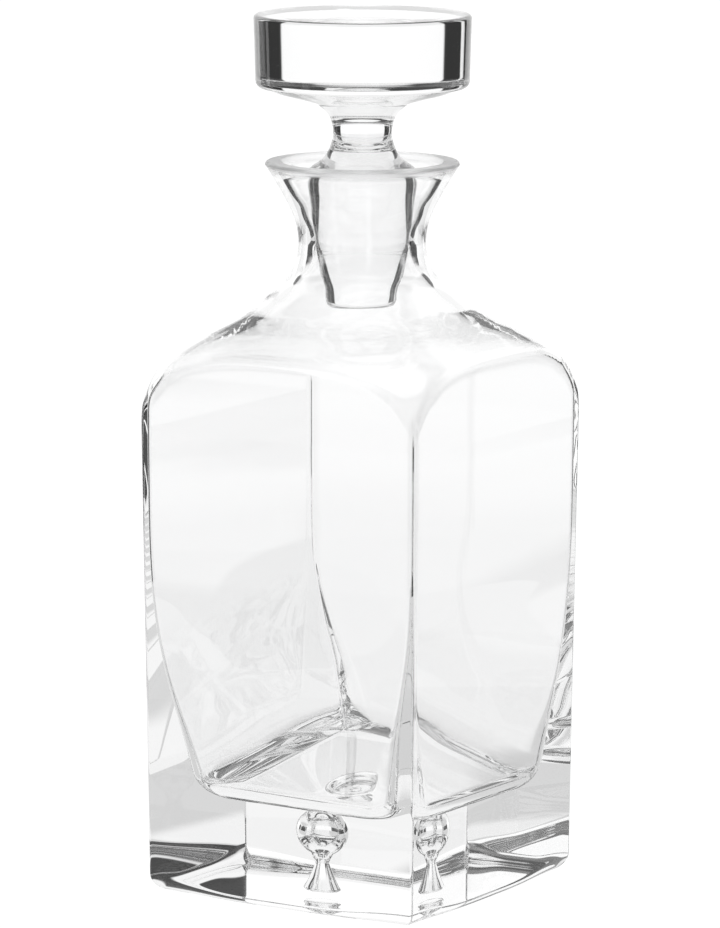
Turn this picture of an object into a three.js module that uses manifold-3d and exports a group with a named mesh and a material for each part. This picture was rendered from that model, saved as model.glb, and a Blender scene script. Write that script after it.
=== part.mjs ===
// A heavy square decanter in clear glass, with its round solid glass stopper.
// Millimetres, +Z up. The origin is the middle of the underside of the base, and the four
// side faces look along +X, -X, +Y and -Y.
//
// The vessel is one piece of glass: a square body whose shoulder is a soft square dome,
// cut by the flat side faces in four arches, a round pinched neck and a flared lip.
// Its chamber follows the outside with a thin wall and draws in towards a thick base.
// A pin-shaped air bubble stands in the base, over a fine vent to the underside.
// The stopper is one solid piece: a disc knob, a waisted stem and a tapered plug.

import * as THREE from "three";
import { mergeVertices } from "three/addons/utils/BufferGeometryUtils.js";
import Module from "manifold-3d";

// ---- driving dimensions ------------------------------------------------------------------

const lipTop = 199; // height of the vessel without its stopper
const halfShoulder = 43.3; // half the body's side, at the shoulder
const halfBase = 41.9; // half the body's side, at the foot
const straightTop = 128; // height where the side faces stop widening
const cornerRadius = 0.6; // vertical edges of the body
const footRadius = 2.8; // rounding of the lowest edge, in the middle of a side
const footCornerRadius = 5; // and at the corners

const lipRadius = 26.3; // outside of the lip
const mouthRadius = 21.6; // inside of the lip
const pinchRadius = 17.2; // outside of the neck where it is narrowest
const pinchHeight = 177.5;

const wall = 1.3; // glass thickness of the upper body
const floorHeight = 26.2; // thickness of the base
const floorRounding = 6.5; // rounding between the chamber's floor and its sides
const twist = -3.5; // degrees that the lower chamber is turned against the outside
const driftX = 1.3; // how far the lower chamber stands off the axis
const driftY = 0.8;
const trueAbove = 84; // the chamber is in line with the outside above this height
const offBelow = 44; // and has its full turn and drift below this one
const throat = 171; // where the round inside of the neck begins
const seatRadius = 13; // narrowest inside of the neck, where the plug sits
const seatHeight = 176.3;

const knobRadius = 29.4; // at the top: the knob's side tapers in slightly downwards
const knobTop = 238.7;
const knobFootRadius = 28.9;
const knobSideFoot = 220.6; // lowest edge of the knob's side
const knobBevel = 1.1;
const stemRadius = 7.95; // the stem's waist
const plugTopRadius = 14.6;
const plugEndRadius = 9.6;
const plugEndRounding = 2; // around the plug's flat end
const plugEnd = 159.2;

const bubbleMiddle = 17.9; // height of the bubble's round head
const bubbleWidth = 7.9; // half the head's width
const bubbleRise = 6.8; // half the head's height
const bubbleWaist = 1.9;
const bubbleWaistHeight = 9.6;
const bubbleFoot = 1.5; // height of the lowest edge of the bubble's skirt
const bubbleSkirt = 5.7;
const bubbleAhead = -4.3; // the bubble stands a little off the axis, along Y
const ventRadius = 0.8;

const overlap = 1; // how far a cutting solid runs past the surface that it opens

// ---- curves ------------------------------------------------------------------------------

// A smooth curve through [radius, height] points in rising order: returns height -> radius.
function radiusAlong(points) {
  const slope = points.map((point, i) => {
    const low = points[Math.max(i - 1, 0)];
    const high = points[Math.min(i + 1, points.length - 1)];
    return (high[0] - low[0]) / (high[1] - low[1]);
  });
  return (height) => {
    let i = 0;
    while (i < points.length - 2 && height > points[i + 1][1]) {
      i += 1;
    }
    const span = points[i + 1][1] - points[i][1];
    const t = Math.min(Math.max((height - points[i][1]) / span, 0), 1);
    const from = points[i][0] * (1 + 2 * t) * (1 - t) ** 2 + slope[i] * span * t * (1 - t) ** 2;
    const to = points[i + 1][0] * t ** 2 * (3 - 2 * t) + slope[i + 1] * span * t ** 2 * (t - 1);
    return from + to;
  };
}

// Distance from the axis to a square with rounded corners, in the direction of an angle.
function roundedSquare(half, corner, angle) {
  const along = Math.max(Math.abs(Math.cos(angle)), Math.abs(Math.sin(angle)));
  const across = Math.min(Math.abs(Math.cos(angle)), Math.abs(Math.sin(angle)));
  const centre = half - corner;
  if ((half * across) / along <= centre) {
    return half / along;
  }
  const reach = centre * (along + across);
  return reach + Math.sqrt(corner ** 2 - (centre * (along - across)) ** 2);
}

// Distance from the axis to a soft square whose reach is `face` towards the middle of a
// side and `diagonal` towards a corner.
function softSquare(face, diagonal, angle) {
  const power = 1 / (0.5 - Math.log2(Math.max(diagonal / face, 1)));
  const sum = Math.abs(Math.cos(angle)) ** power + Math.abs(Math.sin(angle)) ** power;
  return face / sum ** (1 / power);
}

// The smaller of two distances, with the edge between them rounded off.
const edgeSharpness = 110;
function softMinimum(a, b) {
  return (a ** -edgeSharpness + b ** -edgeSharpness) ** (-1 / edgeSharpness);
}

function mix(from, to, share) {
  return from + (to - from) * Math.min(Math.max(share, 0), 1);
}

// ---- the vessel's outside ----------------------------------------------------------------

const shoulderFoot = 122.5; // the side faces meet no dome below this height

const neckOutside = radiusAlong([
  [pinchRadius, pinchHeight],
  [17.9, 182],
  [19.6, 186.4],
  [23, 192.7],
  [25.6, 197],
  [lipRadius, 198.4],
  [lipRadius, lipTop],
]);

const domeTowardsFace = radiusAlong([
  [58, 122],
  [54, 130],
  [49.2, 141.5],
  [46.4, 145.3],
  [42.3, 149.6],
  [34.8, 154.2],
  [27.3, 159],
  [20.9, 166.6],
  [18, 171.8],
  [pinchRadius, pinchHeight],
]);

const domeTowardsCorner = radiusAlong([
  [70, 122],
  [63, 130],
  [61, 134.6],
  [57.5, 141.5],
  [54.4, 145.3],
  [48.9, 149.6],
  [40.5, 154.1],
  [31.1, 158.7],
  [21.2, 166.6],
  [18, 171.8],
  [pinchRadius, pinchHeight],
]);

function outsideRadius(angle, height) {
  if (height >= pinchHeight) {
    return neckOutside(height);
  }
  const half = mix(halfBase, halfShoulder, height / straightTop);
  const foot = mix(footRadius, footCornerRadius, Math.abs(Math.sin(2 * angle)) ** 6);
  const footInset = foot - Math.sqrt(foot ** 2 - Math.max(foot - height, 0) ** 2);
  const square = roundedSquare(half - footInset, cornerRadius, angle);
  if (height <= shoulderFoot) {
    return square;
  }
  return softMinimum(square, softSquare(domeTowardsFace(height), domeTowardsCorner(height), angle));
}

// ---- the chamber -------------------------------------------------------------------------

const neckInside = radiusAlong([
  [16.1, 167.6],
  [14.3, throat],
  [seatRadius, seatHeight],
  [13.4, 179.3],
  [14.5, 183.2],
  [16, 187.2],
  [18, 191.2],
  [20.2, 196],
  [mouthRadius, lipTop],
  [mouthRadius + 0.5, lipTop + overlap],
]);

const ceilingTowardsFace = radiusAlong([
  [56.8, 122],
  [52.8, 129.6],
  [48, 140.8],
  [45.3, 144.4],
  [41.4, 148.4],
  [33.7, 152.5],
  [25.3, 156.8],
  [20.9, 160.6],
  [17.9, 164.2],
  [16.1, 167.6],
  [14.3, throat],
  [seatRadius, seatHeight],
]);

const ceilingTowardsCorner = radiusAlong([
  [68.6, 122],
  [61.8, 129.6],
  [59.8, 134],
  [56.3, 140.7],
  [53.4, 144.3],
  [48, 148.2],
  [39.5, 152.2],
  [29.5, 156.2],
  [22.8, 160.6],
  [18.5, 164.2],
  [16.2, 167.6],
  [14.3, throat],
  [seatRadius, seatHeight],
]);

// Half the chamber's width: it hugs the outside above, and draws in towards the floor.
const chamberHalf = radiusAlong([
  [32.3, floorHeight],
  [33.7, 35],
  [36, 48],
  [38.2, 60],
  [40.5, 76],
  [halfShoulder - wall - 0.3, 95],
  [halfShoulder - wall, 120],
]);

const chamberCorner = radiusAlong([
  [7, floorHeight],
  [5, 38],
  [2.8, 50],
  [1.6, 62],
  [1.3, 80],
  [1.3, straightTop],
]);

function chamberRadius(angle, height) {
  if (height >= throat) {
    return neckInside(height);
  }
  const rise = Math.max(floorHeight + floorRounding - height, 0);
  const inset = floorRounding - Math.sqrt(Math.max(floorRounding ** 2 - rise ** 2, 0));
  const square = roundedSquare(chamberHalf(height) - inset, chamberCorner(height), angle);
  if (height <= shoulderFoot) {
    return square;
  }
  const ceiling = softSquare(ceilingTowardsFace(height), ceilingTowardsCorner(height), angle);
  return softMinimum(square, ceiling);
}

// Share of the chamber's turn and drift at a height.
function offTrue(height) {
  const share = mix(0, 1, (trueAbove - height) / (trueAbove - offBelow));
  return share * share * (3 - 2 * share);
}

function inLine() {
  return 0;
}

// ---- meshes ------------------------------------------------------------------------------

// Angles of one quarter turn, close together where the vertical edges bend.
const halfQuarter = [0, 9, 18, 27, 35, 41, 43.4, 44.35];
const degrees = Math.PI / 180;
const turn = [];
for (let quarter = 0; quarter < 4; quarter += 1) {
  for (const angle of halfQuarter) {
    turn.push((quarter * 90 + angle) * degrees);
  }
  turn.push((quarter * 90 + 45) * degrees);
  for (const angle of halfQuarter.slice(1).reverse()) {
    turn.push((quarter * 90 + 90 - angle) * degrees);
  }
}

// Heights from `low` to `high` in equal steps, without the last.
function steps(low, high, count) {
  return Array.from({ length: count }, (_, i) => low + ((high - low) * i) / count);
}

// A closed solid of rings about the axis, flat at its two ends.
function ringSolid(radiusAt, offAt, heights) {
  const positions = [];
  const triangles = [];
  const around = turn.length;
  for (const height of heights) {
    for (const angle of turn) {
      const radius = radiusAt(angle, height);
      const off = offAt(height);
      const turned = angle + twist * degrees * off;
      const x = radius * Math.cos(turned) + driftX * off;
      const y = radius * Math.sin(turned) + driftY * off;
      positions.push(x, y, height);
    }
  }
  const lowMiddle = positions.length / 3;
  const highMiddle = lowMiddle + 1;
  const lastRing = (heights.length - 1) * around;
  const offLow = offAt(heights[0]);
  positions.push(driftX * offLow, driftY * offLow, heights[0]);
  positions.push(0, 0, heights[heights.length - 1]);
  for (let i = 0; i < around; i += 1) {
    const next = (i + 1) % around;
    for (let ring = 0; ring < lastRing; ring += around) {
      triangles.push(ring + i, ring + next, ring + around + next);
      triangles.push(ring + i, ring + around + next, ring + around + i);
    }
    triangles.push(lowMiddle, next, i);
    triangles.push(highMiddle, lastRing + i, lastRing + next);
  }
  const geometry = new THREE.BufferGeometry();
  geometry.setAttribute("position", new THREE.Float32BufferAttribute(positions, 3));
  geometry.setIndex(triangles);
  return geometry;
}

// A solid of revolution about +Z from [radius, height] points that run upwards.
function revolved(profile, segments) {
  const points = profile.map(([radius, height]) => new THREE.Vector2(radius, height));
  return new THREE.LatheGeometry(points, segments).rotateX(Math.PI / 2);
}

const wasm = await Module();
wasm.setup();

function toManifold(geometry) {
  const bare = new THREE.BufferGeometry();
  bare.setAttribute("position", geometry.getAttribute("position"));
  bare.setIndex(geometry.getIndex());
  const merged = mergeVertices(bare, 1e-4);
  const index = Array.from(merged.getIndex().array);
  const triVerts = [];
  for (let i = 0; i < index.length; i += 3) {
    const [a, b, c] = index.slice(i, i + 3);
    if (a !== b && b !== c && c !== a) {
      triVerts.push(a, b, c);
    }
  }
  const vertProperties = new Float32Array(merged.getAttribute("position").array);
  const mesh = new wasm.Mesh({ numProp: 3, vertProperties, triVerts: new Uint32Array(triVerts) });
  return new wasm.Manifold(mesh);
}

function toGeometry(solid) {
  const mesh = solid.getMesh();
  const geometry = new THREE.BufferGeometry();
  geometry.setAttribute("position", new THREE.Float32BufferAttribute(mesh.vertProperties, 3));
  geometry.setIndex(Array.from(mesh.triVerts));
  return geometry;
}

// ---- the vessel --------------------------------------------------------------------------

function outsideHeights() {
  return [
    0,
    footRadius * 0.15,
    footRadius * 0.5,
    footRadius,
    footCornerRadius,
    64,
    shoulderFoot,
    ...steps(128, 161, 13),
    ...steps(161, pinchHeight, 5),
    ...steps(pinchHeight, 197, 6),
    197,
    198.4,
    lipTop,
  ];
}

function chamberHeights() {
  return [
    floorHeight,
    floorHeight + 0.5,
    floorHeight + 2,
    floorHeight + 4.4,
    ...steps(floorHeight + floorRounding, shoulderFoot, 8),
    shoulderFoot,
    ...steps(128, 160, 12),
    ...steps(160, seatHeight, 5),
    seatHeight,
    179.3,
    ...steps(183.2, lipTop, 4),
    lipTop,
    lipTop + overlap,
  ];
}

// The bubble's outline: vent, skirt, waist and round head, from the underside to its crown.
function bubbleProfile() {
  const headPoints = 8;
  const headStart = Math.asin(bubbleWaist / bubbleWidth);
  const head = Array.from({ length: headPoints }, (_, i) => {
    const angle = headStart + ((Math.PI - headStart) * i) / headPoints;
    return [bubbleWidth * Math.sin(angle), bubbleMiddle - bubbleRise * Math.cos(angle)];
  });
  return [
    [0, -overlap],
    [ventRadius, -overlap],
    [ventRadius, bubbleFoot],
    [bubbleSkirt, bubbleFoot],
    [mix(bubbleSkirt, bubbleWaist, 0.62), mix(bubbleFoot, bubbleWaistHeight, 0.5)],
    [bubbleWaist, bubbleWaistHeight],
    ...head,
    [0, bubbleMiddle + bubbleRise],
  ];
}

function makeVessel() {
  const outside = toManifold(ringSolid(outsideRadius, inLine, outsideHeights()));
  const chamber = toManifold(ringSolid(chamberRadius, offTrue, chamberHeights()));
  const bubble = toManifold(revolved(bubbleProfile(), 20).translate(0, bubbleAhead, 0));
  return toGeometry(outside.subtract(chamber).subtract(bubble));
}

// ---- the stopper -------------------------------------------------------------------------

// Plug, stem and knob, from the plug's flat end up to the middle of the knob's top.
function stopperProfile() {
  const plugFootTop = plugEnd + plugEndRounding;
  const plugAndStem = radiusAlong([
    [plugEndRadius, plugFootTop],
    [10.9, 166.8],
    [12.15, 174.5],
    [13.3, 181],
    [14.2, 190.4],
    [plugTopRadius, 194.4],
    [14.5, 196.4],
    [13.7, 197.5],
    [11.5, 199],
    [9.8, 200.9],
    [8.6, 203.4],
    [stemRadius, 206.2],
    [8.3, 209.4],
    [9.8, 212.3],
    [12.6, 214.7],
  ]);
  const curveHeights = [
    plugFootTop,
    163.6,
    166.8,
    171,
    175.5,
    181,
    186,
    190.4,
    194.4,
    196.4,
    197.5,
    198.2,
    199,
    200.9,
    203.4,
    206.2,
    209,
    211,
    213,
    214.7,
  ];
  return [
    [0, plugEnd],
    [plugEndRadius - plugEndRounding, plugEnd],
    [plugEndRadius - plugEndRounding * (1 - Math.SQRT1_2), plugFootTop - plugEndRounding * Math.SQRT1_2],
    ...curveHeights.map((height) => [plugAndStem(height), height]),
    [17.2, 216],
    [23, 217.5],
    [27.4, 219.1],
    [knobFootRadius, knobSideFoot],
    [knobRadius, knobTop - knobBevel],
    [knobRadius - knobBevel, knobTop],
    [0, knobTop],
  ];
}

// ---- the object --------------------------------------------------------------------------

const clearGlass = {
  color: 0xf2f5f4,
  roughness: 0.02,
  metalness: 0,
};

function glassPiece(name, geometry) {
  const piece = new THREE.Mesh(geometry, new THREE.MeshStandardMaterial(clearGlass));
  piece.name = name;
  return piece;
}

const decanter = new THREE.Group();
decanter.add(glassPiece("decanter_vessel", makeVessel()));
decanter.add(glassPiece("stopper", revolved(stopperProfile(), 40)));

export default decanter;
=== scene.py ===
# The looks of a square clear-glass decanter with its solid glass stopper, on a pale floor.
# Lengths are metres, except where a name ends in _MM, and in the outlines, whose points are
# millimetres too. Both glass pieces are rebuilt finely from the same outlines as the model's
# solids, which they replace.

import math
from functools import partial

import bpy
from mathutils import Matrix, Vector


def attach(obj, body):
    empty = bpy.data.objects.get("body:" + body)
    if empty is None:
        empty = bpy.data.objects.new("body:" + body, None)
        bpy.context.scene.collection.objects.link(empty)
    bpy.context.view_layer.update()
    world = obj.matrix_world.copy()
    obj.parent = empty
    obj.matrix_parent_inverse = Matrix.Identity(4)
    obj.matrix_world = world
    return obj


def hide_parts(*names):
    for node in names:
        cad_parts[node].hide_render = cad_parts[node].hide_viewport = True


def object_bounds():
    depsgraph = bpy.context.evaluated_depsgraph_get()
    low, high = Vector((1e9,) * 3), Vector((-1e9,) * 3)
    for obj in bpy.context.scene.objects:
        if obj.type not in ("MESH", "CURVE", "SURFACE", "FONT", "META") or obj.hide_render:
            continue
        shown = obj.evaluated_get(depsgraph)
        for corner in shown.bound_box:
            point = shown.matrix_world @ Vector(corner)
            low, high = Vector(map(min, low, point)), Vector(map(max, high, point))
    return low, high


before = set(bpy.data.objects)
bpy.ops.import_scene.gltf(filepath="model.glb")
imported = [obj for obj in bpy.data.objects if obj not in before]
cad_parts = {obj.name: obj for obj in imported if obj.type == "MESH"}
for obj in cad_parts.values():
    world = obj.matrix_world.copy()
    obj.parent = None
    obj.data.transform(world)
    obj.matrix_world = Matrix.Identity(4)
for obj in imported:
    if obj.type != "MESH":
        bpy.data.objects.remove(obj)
CAD_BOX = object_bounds()
MM = 0.001

# ---- camera ------------------------------------------------------------------------------

CAMERA_AZIMUTH = math.radians(31.84)
CAMERA_DISTANCE = 1.592
CAMERA_HEIGHT = 0.3764
CAMERA_LENS_MM = 230.05
CAMERA_SENSOR_MM = 36.0
CAMERA_ROLL = math.radians(0.11)
CAMERA_NEAR = 0.05
CAMERA_FAR = 20
AIM_HEIGHT = 0.1161
AIM_SIDEWAYS = -0.0005


def make_camera():
    """The camera in front of the object, turned round it by the azimuth."""
    away = Vector((math.sin(CAMERA_AZIMUTH), -math.cos(CAMERA_AZIMUTH), 0))
    right = Vector((math.cos(CAMERA_AZIMUTH), math.sin(CAMERA_AZIMUTH), 0))
    place = away * CAMERA_DISTANCE + Vector((0, 0, CAMERA_HEIGHT))
    aim = right * AIM_SIDEWAYS + Vector((0, 0, AIM_HEIGHT))
    data = bpy.data.cameras.new("camera")
    data.lens = CAMERA_LENS_MM
    data.sensor_width = CAMERA_SENSOR_MM
    data.clip_start = CAMERA_NEAR
    data.clip_end = CAMERA_FAR
    camera = bpy.data.objects.new("camera", data)
    camera.location = place
    camera.rotation_euler = (aim - place).to_track_quat("-Z", "Y").to_euler()
    camera.rotation_euler.rotate_axis("Z", CAMERA_ROLL)
    bpy.context.scene.collection.objects.link(camera)
    bpy.context.scene.camera = camera


# ---- sizes of the glass, as in the model --------------------------------------------------

LIP_TOP_MM = 199.0
HALF_SHOULDER_MM = 43.3
HALF_BASE_MM = 41.9
STRAIGHT_TOP_MM = 128.0
DOME_FOOT_MM = 122.5
CORNER_RADIUS_MM = 0.6
FOOT_RADIUS_MM = 2.8
FOOT_CORNER_RADIUS_MM = 5.0
LIP_RADIUS_MM = 26.3
MOUTH_RADIUS_MM = 21.6
LIP_ROUNDING_MM = 0.9
PINCH_RADIUS_MM = 17.2
PINCH_HEIGHT_MM = 177.5
WALL_MM = 1.3
FLOOR_HEIGHT_MM = 26.2
FLOOR_ROUNDING_MM = 6.5
CHAMBER_TWIST = math.radians(-3.5)
CHAMBER_DRIFT_MM = (1.3, 0.8)
TRUE_ABOVE_MM = 84.0
OFF_BELOW_MM = 44.0
THROAT_MM = 171.0
THROAT_RADIUS_MM = 14.3
SEAT_RADIUS_MM = 13.0
SEAT_HEIGHT_MM = 176.3

KNOB_RADIUS_MM = 29.4
KNOB_TOP_MM = 238.7
KNOB_FOOT_RADIUS_MM = 28.9
KNOB_SIDE_FOOT_MM = 220.6
KNOB_BEVEL_MM = 1.1
KNOB_HEEL_MM = 1.9
STEM_RADIUS_MM = 7.95
PLUG_TOP_RADIUS_MM = 14.6
PLUG_END_RADIUS_MM = 9.6
PLUG_END_ROUNDING_MM = 2.0
PLUG_END_MM = 159.2

BUBBLE_MIDDLE_MM = 17.9
BUBBLE_WIDTH_MM = 7.9
BUBBLE_RISE_MM = 6.8
BUBBLE_WAIST_MM = 1.9
BUBBLE_WAIST_HEIGHT_MM = 9.6
BUBBLE_FOOT_MM = 1.5
BUBBLE_SKIRT_MM = 5.7
BUBBLE_OFFSET_MM = (0.0, -4.3)

# How sharply the dome meets the flat sides.
EDGE_SHARPNESS = 110
# How closely the larger rounding of the lowest edge keeps to the corners.
FOOT_CORNER_POWER = 6

# ---- curves ------------------------------------------------------------------------------


def radius_along(points):
    """A smooth curve through (radius, height) points in rising order, as height -> radius."""
    slopes = []
    for i in range(len(points)):
        low = points[max(i - 1, 0)]
        high = points[min(i + 1, len(points) - 1)]
        slopes.append((high[0] - low[0]) / (high[1] - low[1]))

    def radius(height):
        i = 0
        while i < len(points) - 2 and height > points[i + 1][1]:
            i += 1
        span = points[i + 1][1] - points[i][1]
        t = min(max((height - points[i][1]) / span, 0), 1)
        start = points[i][0] * (1 + 2 * t) * (1 - t) ** 2 + slopes[i] * span * t * (1 - t) ** 2
        end = points[i + 1][0] * t**2 * (3 - 2 * t) + slopes[i + 1] * span * t**2 * (t - 1)
        return start + end

    return radius


def rounded_square(half, corner, angle):
    """Distance from the axis to a square with rounded corners."""
    along = max(abs(math.cos(angle)), abs(math.sin(angle)))
    across = min(abs(math.cos(angle)), abs(math.sin(angle)))
    centre = half - corner
    if half * across / along <= centre:
        return half / along
    return centre * (along + across) + math.sqrt(corner**2 - (centre * (along - across)) ** 2)


def soft_square(face, diagonal, angle):
    """Distance from the axis to a soft square: face towards a side, diagonal to a corner."""
    power = 1 / (0.5 - math.log2(max(diagonal / face, 1)))
    total = abs(math.cos(angle)) ** power + abs(math.sin(angle)) ** power
    return face / total ** (1 / power)


def soft_minimum(a, b):
    """The smaller of two distances, with a slightly rounded change from one to the other."""
    return (a**-EDGE_SHARPNESS + b**-EDGE_SHARPNESS) ** (-1 / EDGE_SHARPNESS)


def mix(start, end, share):
    """A value between start and end, never beyond either."""
    return start + (end - start) * min(max(share, 0), 1)


def rounded_inset(radius, rise):
    """How far a rounding of that radius draws in, at a height below its top."""
    return radius - math.sqrt(max(radius**2 - max(rise, 0) ** 2, 0))


# ---- the vessel's outside ----------------------------------------------------------------

neck_outside = radius_along([
    (PINCH_RADIUS_MM, PINCH_HEIGHT_MM),
    (17.9, 182),
    (19.6, 186.4),
    (23, 192.7),
    (25.6, 197),
    (LIP_RADIUS_MM, 198.4),
    (LIP_RADIUS_MM, LIP_TOP_MM),
])

dome_towards_face = radius_along([
    (58, 122),
    (54, 130),
    (49.2, 141.5),
    (46.4, 145.3),
    (42.3, 149.6),
    (34.8, 154.2),
    (27.3, 159),
    (20.9, 166.6),
    (18, 171.8),
    (PINCH_RADIUS_MM, PINCH_HEIGHT_MM),
])

dome_towards_corner = radius_along([
    (70, 122),
    (63, 130),
    (61, 134.6),
    (57.5, 141.5),
    (54.4, 145.3),
    (48.9, 149.6),
    (40.5, 154.1),
    (31.1, 158.7),
    (21.2, 166.6),
    (18, 171.8),
    (PINCH_RADIUS_MM, PINCH_HEIGHT_MM),
])


def foot_rounding(angle):
    """Radius of the lowest edge: it grows towards the corners."""
    towards_corner = abs(math.sin(2 * angle)) ** FOOT_CORNER_POWER
    return mix(FOOT_RADIUS_MM, FOOT_CORNER_RADIUS_MM, towards_corner)


def outside_radius(angle, height):
    """Distance from the axis to the vessel's outside."""
    if height >= PINCH_HEIGHT_MM:
        return neck_outside(height)
    half = mix(HALF_BASE_MM, HALF_SHOULDER_MM, height / STRAIGHT_TOP_MM)
    foot = foot_rounding(angle)
    inset = rounded_inset(foot, foot - height)
    square = rounded_square(half - inset, CORNER_RADIUS_MM, angle)
    if height <= DOME_FOOT_MM:
        return square
    dome = soft_square(dome_towards_face(height), dome_towards_corner(height), angle)
    return soft_minimum(square, dome)


# ---- the chamber -------------------------------------------------------------------------

neck_inside = radius_along([
    (16.1, 167.6),
    (THROAT_RADIUS_MM, THROAT_MM),
    (SEAT_RADIUS_MM, SEAT_HEIGHT_MM),
    (13.4, 179.3),
    (14.5, 183.2),
    (16, 187.2),
    (18, 191.2),
    (20.2, 196),
    (MOUTH_RADIUS_MM, LIP_TOP_MM),
])

ceiling_towards_face = radius_along([
    (56.8, 122),
    (52.8, 129.6),
    (48, 140.8),
    (45.3, 144.4),
    (41.4, 148.4),
    (33.7, 152.5),
    (25.3, 156.8),
    (20.9, 160.6),
    (17.9, 164.2),
    (16.1, 167.6),
    (THROAT_RADIUS_MM, THROAT_MM),
    (SEAT_RADIUS_MM, SEAT_HEIGHT_MM),
])

ceiling_towards_corner = radius_along([
    (68.6, 122),
    (61.8, 129.6),
    (59.8, 134),
    (56.3, 140.7),
    (53.4, 144.3),
    (48, 148.2),
    (39.5, 152.2),
    (29.5, 156.2),
    (22.8, 160.6),
    (18.5, 164.2),
    (16.2, 167.6),
    (THROAT_RADIUS_MM, THROAT_MM),
    (SEAT_RADIUS_MM, SEAT_HEIGHT_MM),
])

# Half the chamber's width: it hugs the outside above, and draws in towards the floor.
chamber_half = radius_along([
    (32.3, FLOOR_HEIGHT_MM),
    (33.7, 35),
    (36, 48),
    (38.2, 60),
    (40.5, 76),
    (HALF_SHOULDER_MM - WALL_MM - 0.3, 95),
    (HALF_SHOULDER_MM - WALL_MM, 120),
])

chamber_corner = radius_along([
    (7, FLOOR_HEIGHT_MM),
    (5, 38),
    (2.8, 50),
    (1.6, 62),
    (1.3, 80),
    (1.3, STRAIGHT_TOP_MM),
])


def chamber_radius(angle, height):
    """Distance from the chamber's own axis to its wall."""
    if height >= THROAT_MM:
        return neck_inside(height)
    inset = rounded_inset(FLOOR_ROUNDING_MM, FLOOR_HEIGHT_MM + FLOOR_ROUNDING_MM - height)
    square = rounded_square(chamber_half(height) - inset, chamber_corner(height), angle)
    if height <= DOME_FOOT_MM:
        return square
    ceiling = soft_square(ceiling_towards_face(height), ceiling_towards_corner(height), angle)
    return soft_minimum(square, ceiling)


def off_true(height):
    """Share of the lower chamber's small turn and drift against the square outside."""
    share = mix(0, 1, (TRUE_ABOVE_MM - height) / (TRUE_ABOVE_MM - OFF_BELOW_MM))
    return share * share * (3 - 2 * share)


# ---- mesh building -----------------------------------------------------------------------

FACE_SAMPLES = 22
EDGE_SAMPLES = 14
EDGE_SPREAD = math.radians(5.5)


def turn_angles():
    """Angles of a full turn, close together near the vertical edges."""
    eighth = math.pi / 4
    flat = [(eighth - EDGE_SPREAD) * i / FACE_SAMPLES for i in range(FACE_SAMPLES)]
    edge = [eighth - EDGE_SPREAD * (1 - i / EDGE_SAMPLES) ** 2 for i in range(EDGE_SAMPLES)]
    rising = flat + edge
    quarter = rising + [math.pi / 2 - angle for angle in [eighth] + rising[:0:-1]]
    return [angle + math.pi / 2 * side for side in range(4) for angle in quarter]


def steps(low, high, count):
    """Heights from low to high in equal steps, without the last."""
    return [low + (high - low) * i / count for i in range(count)]


def ring(radius_at, height, angles, share=1.0, off=0.0):
    """Points of one loop: share shrinks it, off is its share of the chamber's turn and drift."""
    points = []
    for angle in angles:
        radius = radius_at(angle) * share
        turned = angle + CHAMBER_TWIST * off
        x = radius * math.cos(turned) + CHAMBER_DRIFT_MM[0] * off
        y = radius * math.sin(turned) + CHAMBER_DRIFT_MM[1] * off
        points.append((x, y, height))
    return points


def round_ring(radius, height, angles):
    return ring(lambda angle: radius, height, angles)


def skin(rings, first_point, last_point):
    """Points and faces of a closed surface over rings, with a point at each end."""
    around = len(rings[0])
    points = [point for loop in rings for point in loop]
    start = len(points)
    points += [first_point, last_point]
    faces = []
    for level in range(len(rings) - 1):
        base = level * around
        for i in range(around):
            j = (i + 1) % around
            faces.append((base + i, base + j, base + around + j, base + around + i))
    top = (len(rings) - 1) * around
    for i in range(around):
        j = (i + 1) % around
        faces.append((start, j, i))
        faces.append((start + 1, top + i, top + j))
    return points, faces


def join(parts):
    """Several (points, faces) surfaces as one."""
    points, faces = [], []
    for part_points, part_faces in parts:
        offset = len(points)
        points += part_points
        faces += [tuple(index + offset for index in face) for face in part_faces]
    return points, faces


def glass_object(name, points, faces, material):
    """A smooth-shaded object from points in millimetres."""
    mesh = bpy.data.meshes.new(name)
    mesh.from_pydata([(x * MM, y * MM, z * MM) for x, y, z in points], [], faces)
    mesh.validate()
    mesh.polygons.foreach_set("use_smooth", [True] * len(mesh.polygons))
    mesh.materials.append(material)
    piece = bpy.data.objects.new(name, mesh)
    bpy.context.scene.collection.objects.link(piece)
    return piece


# ---- the vessel --------------------------------------------------------------------------

# Rings of points: shares of the width on flat ends, and how many steps on the bends.
UNDERSIDE_SHARES = (0.2, 0.45, 0.7, 0.9, 0.98)
FLOOR_SHARES = (0.96, 0.88, 0.76, 0.64, 0.52, 0.4, 0.3, 0.22, 0.14, 0.07)
# The rings stand closest between the dome's foot and this height.
DOME_TOP_MM = 162
FOOT_STEPS = 44
DOME_STEPS = 58
FLOOR_BEND_STEPS = 36
RIM_STEPS = 6
BUBBLE_SEGMENTS = 72
BUBBLE_HEAD_POINTS = 26


def outside_rings(angles):
    """The underside from its middle outwards, then the outside up to the lip."""
    rings = []
    underside = partial(outside_radius, height=0)
    for share in UNDERSIDE_SHARES:
        rings.append(ring(underside, 0, angles, share))
    heights = []
    for i in range(FOOT_STEPS):
        lean = math.pi / 2 * i / FOOT_STEPS
        heights.append(FOOT_CORNER_RADIUS_MM * (1 - math.cos(lean)))
    heights += steps(FOOT_CORNER_RADIUS_MM, DOME_FOOT_MM, 12)
    heights += steps(DOME_FOOT_MM, DOME_TOP_MM, DOME_STEPS)
    heights += steps(DOME_TOP_MM, 197, 28)
    heights += [197, 197.6]
    for height in heights:
        rings.append(ring(partial(outside_radius, height=height), height, angles))
    return rings


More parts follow.
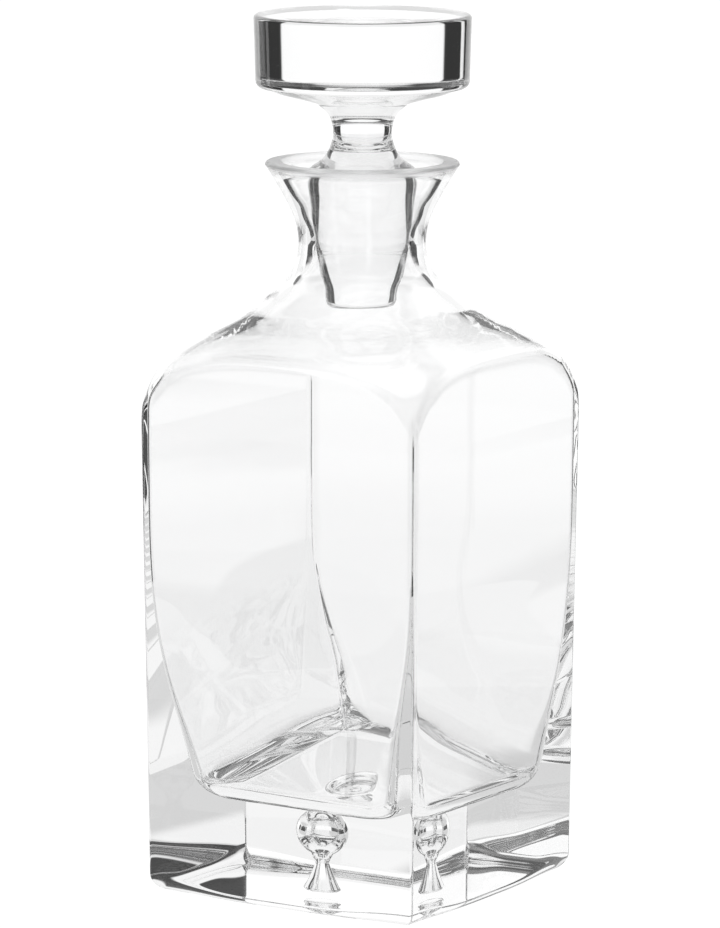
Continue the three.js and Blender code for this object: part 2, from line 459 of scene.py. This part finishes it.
def rim_rings(angles):
    """The lip's rounded rim, from its outside over its flat top to the mouth."""
    rings = []
    middle = LIP_TOP_MM - LIP_ROUNDING_MM
    for i in range(RIM_STEPS + 1):
        lean = math.pi / 2 * i / RIM_STEPS
        radius = LIP_RADIUS_MM - LIP_ROUNDING_MM * (1 - math.cos(lean))
        rings.append(round_ring(radius, middle + LIP_ROUNDING_MM * math.sin(lean), angles))
    for i in range(RIM_STEPS + 1):
        lean = math.pi / 2 * (1 - i / RIM_STEPS)
        radius = MOUTH_RADIUS_MM + LIP_ROUNDING_MM * (1 - math.cos(lean))
        rings.append(round_ring(radius, middle + LIP_ROUNDING_MM * math.sin(lean), angles))
    return rings


def chamber_rings(angles):
    """The inside, from the mouth down to the floor and in to its middle."""
    heights = steps(197.4, DOME_TOP_MM, 32)
    heights += steps(DOME_TOP_MM, DOME_FOOT_MM, DOME_STEPS)
    heights += steps(DOME_FOOT_MM, FLOOR_HEIGHT_MM + FLOOR_ROUNDING_MM, 30)
    for i in range(FLOOR_BEND_STEPS + 1):
        lean = math.pi / 2 * i / FLOOR_BEND_STEPS
        heights.append(FLOOR_HEIGHT_MM + FLOOR_ROUNDING_MM * (1 - math.sin(lean)))
    rings = []
    for height in heights:
        inside = partial(chamber_radius, height=height)
        rings.append(ring(inside, height, angles, off=off_true(height)))
    for share in FLOOR_SHARES:
        rings.append(ring(inside, heights[-1], angles, share, off=1.0))
    return rings


def bubble_profile():
    """Outline of the trapped bubble: skirt, waist and round head, upwards."""
    skirt = [
        (0.6 * BUBBLE_SKIRT_MM, BUBBLE_FOOT_MM - 0.1),
        (0.9 * BUBBLE_SKIRT_MM, BUBBLE_FOOT_MM + 0.05),
        (BUBBLE_SKIRT_MM, BUBBLE_FOOT_MM + 0.5),
    ]
    flare = radius_along([
        (BUBBLE_SKIRT_MM, BUBBLE_FOOT_MM + 0.5),
        (3.9, 5),
        (2.5, 8),
        (BUBBLE_WAIST_MM, BUBBLE_WAIST_HEIGHT_MM),
    ])
    waist = BUBBLE_WAIST_HEIGHT_MM
    leg = [(flare(height), height) for height in steps(BUBBLE_FOOT_MM + 0.9, waist, 18)]
    first = math.asin(BUBBLE_WAIST_MM / BUBBLE_WIDTH_MM)
    head = []
    for i in range(2, BUBBLE_HEAD_POINTS):
        lean = first + (math.pi - first) * i / BUBBLE_HEAD_POINTS
        radius = BUBBLE_WIDTH_MM * math.sin(lean)
        head.append((radius, BUBBLE_MIDDLE_MM - BUBBLE_RISE_MM * math.cos(lean)))
    return skirt + leg + head


def even_turn(count):
    """Evenly spaced angles of a full turn."""
    return [2 * math.pi * i / count for i in range(count)]


def make_vessel(material):
    """The vessel: one closed skin outside and inside, and the trapped bubble as a hollow."""
    angles = turn_angles()
    rings = outside_rings(angles) + rim_rings(angles) + chamber_rings(angles)
    body = skin(rings, (0, 0, 0), (*CHAMBER_DRIFT_MM, FLOOR_HEIGHT_MM))
    circle = even_turn(BUBBLE_SEGMENTS)
    loops = [round_ring(*point, circle) for point in reversed(bubble_profile())]
    crown = (0, 0, BUBBLE_MIDDLE_MM + BUBBLE_RISE_MM)
    points, faces = skin(loops, crown, (0, 0, BUBBLE_FOOT_MM - 0.1))
    aside, ahead = BUBBLE_OFFSET_MM
    bubble = ([(x + aside, y + ahead, z) for x, y, z in points], faces)
    piece = glass_object("vessel_glass", *join([body, bubble]), material)
    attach(piece, "vessel")
    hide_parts("decanter_vessel")


# ---- the stopper -------------------------------------------------------------------------

STOPPER_SEGMENTS = 200


def arc_points(centre, radius, start_deg, end_deg, count):
    """(radius, height) points of an arc about a centre, both ends included."""
    points = []
    for i in range(count + 1):
        lean = math.radians(mix(start_deg, end_deg, i / count))
        points.append((centre[0] + radius * math.cos(lean), centre[1] + radius * math.sin(lean)))
    return points


def stopper_profile():
    """The stopper's outline as (radius, height) points, from the plug's end to the knob's top."""
    plug_foot_top = PLUG_END_MM + PLUG_END_ROUNDING_MM
    plug_and_stem = radius_along([
        (PLUG_END_RADIUS_MM, plug_foot_top),
        (10.9, 166.8),
        (12.15, 174.5),
        (13.3, 181),
        (14.2, 190.4),
        (PLUG_TOP_RADIUS_MM, 194.4),
        (14.5, 196.4),
        (13.7, 197.5),
        (11.5, 199),
        (9.8, 200.9),
        (8.6, 203.4),
        (STEM_RADIUS_MM, 206.2),
        (8.3, 209.4),
        (9.8, 212.3),
        (12.6, 214.7),
    ])
    underside = radius_along([
        (12.6, 214.7),
        (17.2, 216),
        (23, 217.5),
        (27.2, 219),
    ])
    rounding = PLUG_END_ROUNDING_MM
    plug_foot = arc_points((PLUG_END_RADIUS_MM - rounding, plug_foot_top), rounding, -90, -8, 10)
    curve = [(plug_and_stem(h), h) for h in steps(plug_foot_top, 214.7, 90)]
    under = [(underside(h), h) for h in steps(214.7, 219, 12)]
    heel_middle = (KNOB_FOOT_RADIUS_MM - KNOB_HEEL_MM, KNOB_SIDE_FOOT_MM + 0.2)
    heel = arc_points(heel_middle, KNOB_HEEL_MM, -65, 0, 8)
    bevel = KNOB_BEVEL_MM
    side_top = KNOB_TOP_MM - bevel
    side = [
        (mix(KNOB_FOOT_RADIUS_MM, KNOB_RADIUS_MM, i / 8), mix(heel[-1][1], side_top, i / 8))
        for i in range(1, 8)
    ]
    shoulder = arc_points((KNOB_RADIUS_MM - bevel, side_top), bevel, 0, 90, 8)
    top = [(KNOB_RADIUS_MM * share, KNOB_TOP_MM) for share in (0.9, 0.75, 0.5, 0.25, 0.1)]
    foot = [(PLUG_END_RADIUS_MM * share, PLUG_END_MM) for share in (0.2, 0.5, 0.7)]
    return foot + plug_foot + curve[1:] + under + heel + side + shoulder + top


def make_stopper(material):
    """The stopper, a closed solid of revolution."""
    circle = even_turn(STOPPER_SEGMENTS)
    loops = [round_ring(*point, circle) for point in stopper_profile()]
    points, faces = skin(loops, (0, 0, PLUG_END_MM), (0, 0, KNOB_TOP_MM))
    piece = glass_object("stopper_glass", points, faces, material)
    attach(piece, "stopper")
    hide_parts("stopper")


# ---- glass -------------------------------------------------------------------------------

GLASS_IOR = 1.52
GLASS_TINT_LOW = (0.986, 0.988, 0.989, 1)
GLASS_TINT_HIGH = (0.998, 0.998, 0.999, 1)
TINT_NOISE_SCALE = 18
WAVE_NOISE_SCALE = 32
VESSEL_WAVE_DEPTH = 0.00002
STOPPER_WAVE_DEPTH = 0.00001
# The glass is ground between two heights: the rim of the lip, and a thin ring at the seat.
GROUND_ROUGHNESS = 0.42
GROUND_FADE = 0.0004
GROUND_LIP = (0.1978, 0.25)
GROUND_SEAT = (0.1755, 0.1755)


def link(tree, source, output, target, entry):
    tree.links.new(source.outputs[output], target.inputs[entry])


def calculate(tree, operation, *entries):
    """A Math node: each entry is a plain number or a (node, output name) pair."""
    result = tree.nodes.new("ShaderNodeMath")
    result.operation = operation
    for index, entry in enumerate(entries):
        if isinstance(entry, tuple):
            link(tree, *entry, result, index)
        else:
            result.inputs[index].default_value = entry
    return result


def remap(tree, source, output, start, end, low=0, high=1):
    """A value that goes from low at start to high at end, and stays level beyond them."""
    result = tree.nodes.new("ShaderNodeMapRange")
    limits = {"From Min": start, "From Max": end, "To Min": low, "To Max": high}
    for entry, value in limits.items():
        result.inputs[entry].default_value = value
    link(tree, source, output, result, "Value")
    return result


def glass_material(name, ground, wave_depth):
    """Clear glass with faint tint changes and waviness, ground between two heights."""
    ground_low, ground_high = ground
    material = bpy.data.materials.new(name)
    material.use_nodes = True
    tree = material.node_tree
    shader = tree.nodes["Principled BSDF"]
    shader.inputs["Transmission Weight"].default_value = 1
    shader.inputs["IOR"].default_value = GLASS_IOR

    place = tree.nodes.new("ShaderNodeTexCoord")
    tint_noise = tree.nodes.new("ShaderNodeTexNoise")
    tint_noise.inputs["Scale"].default_value = TINT_NOISE_SCALE
    tint_noise.inputs["Detail"].default_value = 2
    tint = tree.nodes.new("ShaderNodeValToRGB")
    tint.color_ramp.elements[0].color = GLASS_TINT_LOW
    tint.color_ramp.elements[1].color = GLASS_TINT_HIGH
    link(tree, place, "Object", tint_noise, "Vector")
    link(tree, tint_noise, "Fac", tint, "Fac")
    link(tree, tint, "Color", shader, "Base Color")

    height = tree.nodes.new("ShaderNodeSeparateXYZ")
    link(tree, place, "Object", height, "Vector")
    above = remap(tree, height, "Z", ground_low - GROUND_FADE, ground_low)
    top = ground_high + GROUND_FADE
    below = remap(tree, height, "Z", ground_high, top, GROUND_ROUGHNESS, 0)
    roughness = calculate(tree, "MULTIPLY", (above, "Result"), (below, "Result"))
    link(tree, roughness, "Value", shader, "Roughness")

    wave_noise = tree.nodes.new("ShaderNodeTexNoise")
    wave_noise.inputs["Scale"].default_value = WAVE_NOISE_SCALE
    wave_noise.inputs["Detail"].default_value = 1
    bump = tree.nodes.new("ShaderNodeBump")
    bump.inputs["Strength"].default_value = 1
    bump.inputs["Distance"].default_value = wave_depth
    link(tree, place, "Object", wave_noise, "Vector")
    link(tree, wave_noise, "Fac", bump, "Height")
    link(tree, bump, "Normal", shader, "Normal")
    return material


# ---- studio ------------------------------------------------------------------------------

# The camera sees plain white round the object. The studio shows only through the glass and in
# its reflections: a backdrop with panels, an upper band, a dark gap, a ceiling and a floor.
WHITE = 1.07
LIGHT = 0.94
DARK = 0.03

# Brightness by direction round the object, in degrees from the way the camera looks:
# a white backdrop and three narrow panels, with dark gaps at the sides that draw the edges.
STUDIO_BRIGHTNESS = [
    (-180, 0.2),
    (-172, 0.2),
    (-171, LIGHT),
    (-163, LIGHT),
    (-162, 0.06),
    (-69, DARK),
    (-38, DARK),
    (-36.5, LIGHT),
    (36.5, LIGHT),
    (38, DARK),
    (55, DARK),
    (56, LIGHT),
    (60.4, LIGHT),
    (61.4, DARK),
    (111, 0.06),
    (112, LIGHT),
    (120.5, LIGHT),
    (121.5, 0.06),
    (168, 0.06),
    (172, 0.2),
    (180, 0.2),
]
# The backdrop grows brighter by the factor LIFT between these two angles from level.
LIFT = 1.17
LIFT_RISE = (math.radians(-10.5), math.radians(-5))
# One more panel, which fades out upwards between these two angles from level.
LOW_PANEL_TOP = (math.radians(-8.5), math.radians(-7.5))
LOW_PANEL_BRIGHTNESS = [
    (-180, 0.0),
    (-69, 0.0),
    (-68, LIGHT),
    (-60, LIGHT),
    (-59, 0.0),
    (180, 0.0),
]
# The upper band, from the backdrop's top to its own top.
BACKDROP_TOP = (math.radians(14), math.radians(21))
UPPER_BRIGHTNESS = [
    (-180, 0.15),
    (-78, 0.15),
    (-66, 0.95),
    (66, 0.95),
    (78, 0.15),
    (180, 0.15),
]
UPPER_TOP = (math.radians(43), math.radians(49))
# The dark gap over the upper band, and the bright ceiling over that.
HIGH_BRIGHTNESS = 0.05
CEILING_FOOT = (math.radians(58), math.radians(65))
CEILING_BRIGHTNESS = 1.0

# The floor glows by emission. To rays other than the camera's it shows painted light along a
# stripe under the object, which widens behind it, and painted shade aside.
FLOOR_RADIUS = 0.3
FLOOR_SEGMENTS = 96
FLOOR_DROP = 0.0001
# Painted shade: the glowing floor's brightness at its sides, seen only through the glass.
FLOOR_SIDE_PAINTED_SHADE = 0.68
FLOOR_STRIPE_MIDDLE = -0.015
FLOOR_STRIPE_HALF = 0.036
FLOOR_STRIPE_START = 0.04
FLOOR_STRIPE_WIDENING = 0.45
FLOOR_STRIPE_EDGE = 0.012

LIGHT_BOUNCES = 64
GLOSSY_BOUNCES = 56


def camera_parts(tree, source, output):
    """X to the right of the object, Y behind it and Z up, as seen from the camera."""
    turned = tree.nodes.new("ShaderNodeVectorRotate")
    turned.rotation_type = "Z_AXIS"
    turned.inputs["Angle"].default_value = -CAMERA_AZIMUTH
    link(tree, source, output, turned, "Vector")
    parts = tree.nodes.new("ShaderNodeSeparateXYZ")
    link(tree, turned, "Vector", parts, "Vector")
    return parts


def rising_share(tree, source, output, start, end):
    """0 below start and 1 above end, smoothly between."""
    share = remap(tree, source, output, start, end)
    share.interpolation_type = "SMOOTHSTEP"
    return share


def band_share(tree, parts, limits):
    """0 below and 1 above two angles from level, smoothly between."""
    return rising_share(tree, parts, "Z", *[math.sin(lean) for lean in limits])


def heading_share(tree, parts):
    """The direction round the object as a share of a full turn, half being straight away."""
    mirrored = calculate(tree, "MULTIPLY", (parts, "X"), -1)
    heading = calculate(tree, "ARCTAN2", (mirrored, "Value"), (parts, "Y"))
    return remap(tree, heading, "Value", -math.pi, math.pi)


def ramp_round(tree, heading, stops):
    """A brightness that changes with the heading, between stops given in degrees."""
    ramp = tree.nodes.new("ShaderNodeValToRGB")
    elements = ramp.color_ramp.elements
    elements[0].position = 0
    elements[1].position = 1
    for degrees, _ in stops[1:-1]:
        elements.new((degrees + 180) / 360)
    for element, (_, value) in zip(elements, stops):
        element.color = (value, value, value, 1)
    link(tree, heading, "Result", ramp, "Fac")
    return ramp


def choose(tree, decider, output, first, second):
    """A mix from one colour source to another: each is a node or a plain brightness."""
    mixer = tree.nodes.new("ShaderNodeMix")
    mixer.data_type = "RGBA"
    link(tree, decider, output, mixer, 0)
    for entry, source in ((6, first), (7, second)):
        if isinstance(source, float):
            mixer.inputs[entry].default_value = (source, source, source, 1)
        else:
            tree.links.new(source, mixer.inputs[entry])
    return mixer.outputs[2]


def make_world():
    """The studio round the object, by direction."""
    world = bpy.data.worlds.new("studio")
    bpy.context.scene.world = world
    world.use_nodes = True
    tree = world.node_tree
    place = tree.nodes.new("ShaderNodeTexCoord")
    parts = camera_parts(tree, place, "Generated")
    heading = heading_share(tree, parts)

    panels = ramp_round(tree, heading, STUDIO_BRIGHTNESS)
    low_panel = ramp_round(tree, heading, LOW_PANEL_BRIGHTNESS)
    over_panel = band_share(tree, parts, LOW_PANEL_TOP)
    low_part = choose(tree, over_panel, "Result", low_panel.outputs["Color"], 0.0)
    backdrop = tree.nodes.new("ShaderNodeVectorMath")
    backdrop.operation = "MAXIMUM"
    link(tree, panels, "Color", backdrop, 0)
    tree.links.new(low_part, backdrop.inputs[1])
    rise = [math.sin(lean) for lean in LIFT_RISE]
    lift = remap(tree, parts, "Z", *rise, 1, LIFT)
    lifted = tree.nodes.new("ShaderNodeVectorMath")
    lifted.operation = "SCALE"
    link(tree, backdrop, "Vector", lifted, 0)
    link(tree, lift, "Result", lifted, "Scale")

    around = lifted.outputs["Vector"]
    upper = ramp_round(tree, heading, UPPER_BRIGHTNESS).outputs["Color"]
    for limits, brightness in (
        (BACKDROP_TOP, upper),
        (UPPER_TOP, HIGH_BRIGHTNESS),
        (CEILING_FOOT, CEILING_BRIGHTNESS),
    ):
        over = band_share(tree, parts, limits)
        around = choose(tree, over, "Result", around, brightness)
    path = tree.nodes.new("ShaderNodeLightPath")
    shown = choose(tree, path, "Is Camera Ray", around, WHITE)
    tree.links.new(shown, tree.nodes["Background"].inputs["Color"])


def make_floor():
    """A small round pale table top, level with the underside of the base. It glows: plain white
    to the camera, painted light and shade to other rays.
    """
    points = [(0, 0, 0)] + round_ring(FLOOR_RADIUS, 0, even_turn(FLOOR_SEGMENTS))
    faces = [(0, i + 1, (i + 1) % FLOOR_SEGMENTS + 1) for i in range(FLOOR_SEGMENTS)]
    mesh = bpy.data.meshes.new("floor")
    mesh.from_pydata(points, [], faces)
    floor = bpy.data.objects.new("floor", mesh)
    floor.location.z = CAD_BOX[0][2] - FLOOR_DROP
    bpy.context.scene.collection.objects.link(floor)
    material = bpy.data.materials.new("floor_painted_light")
    material.use_nodes = True
    tree = material.node_tree
    tree.nodes.remove(tree.nodes["Principled BSDF"])
    place = tree.nodes.new("ShaderNodeTexCoord")
    parts = camera_parts(tree, place, "Object")
    across = calculate(tree, "SUBTRACT", (parts, "X"), FLOOR_STRIPE_MIDDLE)
    aside = calculate(tree, "ABSOLUTE", (across, "Value"))
    behind = calculate(tree, "MAXIMUM", (parts, "Y"), FLOOR_STRIPE_START)
    widening = -FLOOR_STRIPE_WIDENING
    past = calculate(tree, "MULTIPLY_ADD", (behind, "Value"), widening, (aside, "Value"))
    edge = FLOOR_STRIPE_HALF + widening * FLOOR_STRIPE_START
    side = rising_share(tree, past, "Value", edge, edge + FLOOR_STRIPE_EDGE)
    # Painted light and shade: the stripe glows LIGHT as a painted pool of light, and the sides
    # glow as painted shade.
    shade = choose(tree, side, "Result", LIGHT, FLOOR_SIDE_PAINTED_SHADE)
    glow = tree.nodes.new("ShaderNodeEmission")
    tree.links.new(shade, glow.inputs["Color"])
    direct = tree.nodes.new("ShaderNodeEmission")
    direct.inputs["Color"].default_value = (WHITE, WHITE, WHITE, 1)
    path = tree.nodes.new("ShaderNodeLightPath")
    shown = tree.nodes.new("ShaderNodeMixShader")
    link(tree, path, "Is Camera Ray", shown, 0)
    link(tree, glow, "Emission", shown, 1)
    link(tree, direct, "Emission", shown, 2)
    link(tree, shown, "Shader", tree.nodes["Material Output"], "Surface")
    mesh.materials.append(material)


def set_light_paths():
    """Enough bounces for light to cross every wall of the vessel and the stopper."""
    scene = bpy.context.scene
    scene.view_settings.view_transform = "Standard"
    scene.cycles.max_bounces = LIGHT_BOUNCES
    scene.cycles.transmission_bounces = LIGHT_BOUNCES
    scene.cycles.glossy_bounces = GLOSSY_BOUNCES
    scene.cycles.blur_glossy = 0


# ---- the scene ---------------------------------------------------------------------------

make_camera()
make_world()
make_floor()
set_light_paths()
make_vessel(glass_material("vessel_glass", GROUND_LIP, VESSEL_WAVE_DEPTH))
make_stopper(glass_material("stopper_glass", GROUND_SEAT, STOPPER_WAVE_DEPTH))
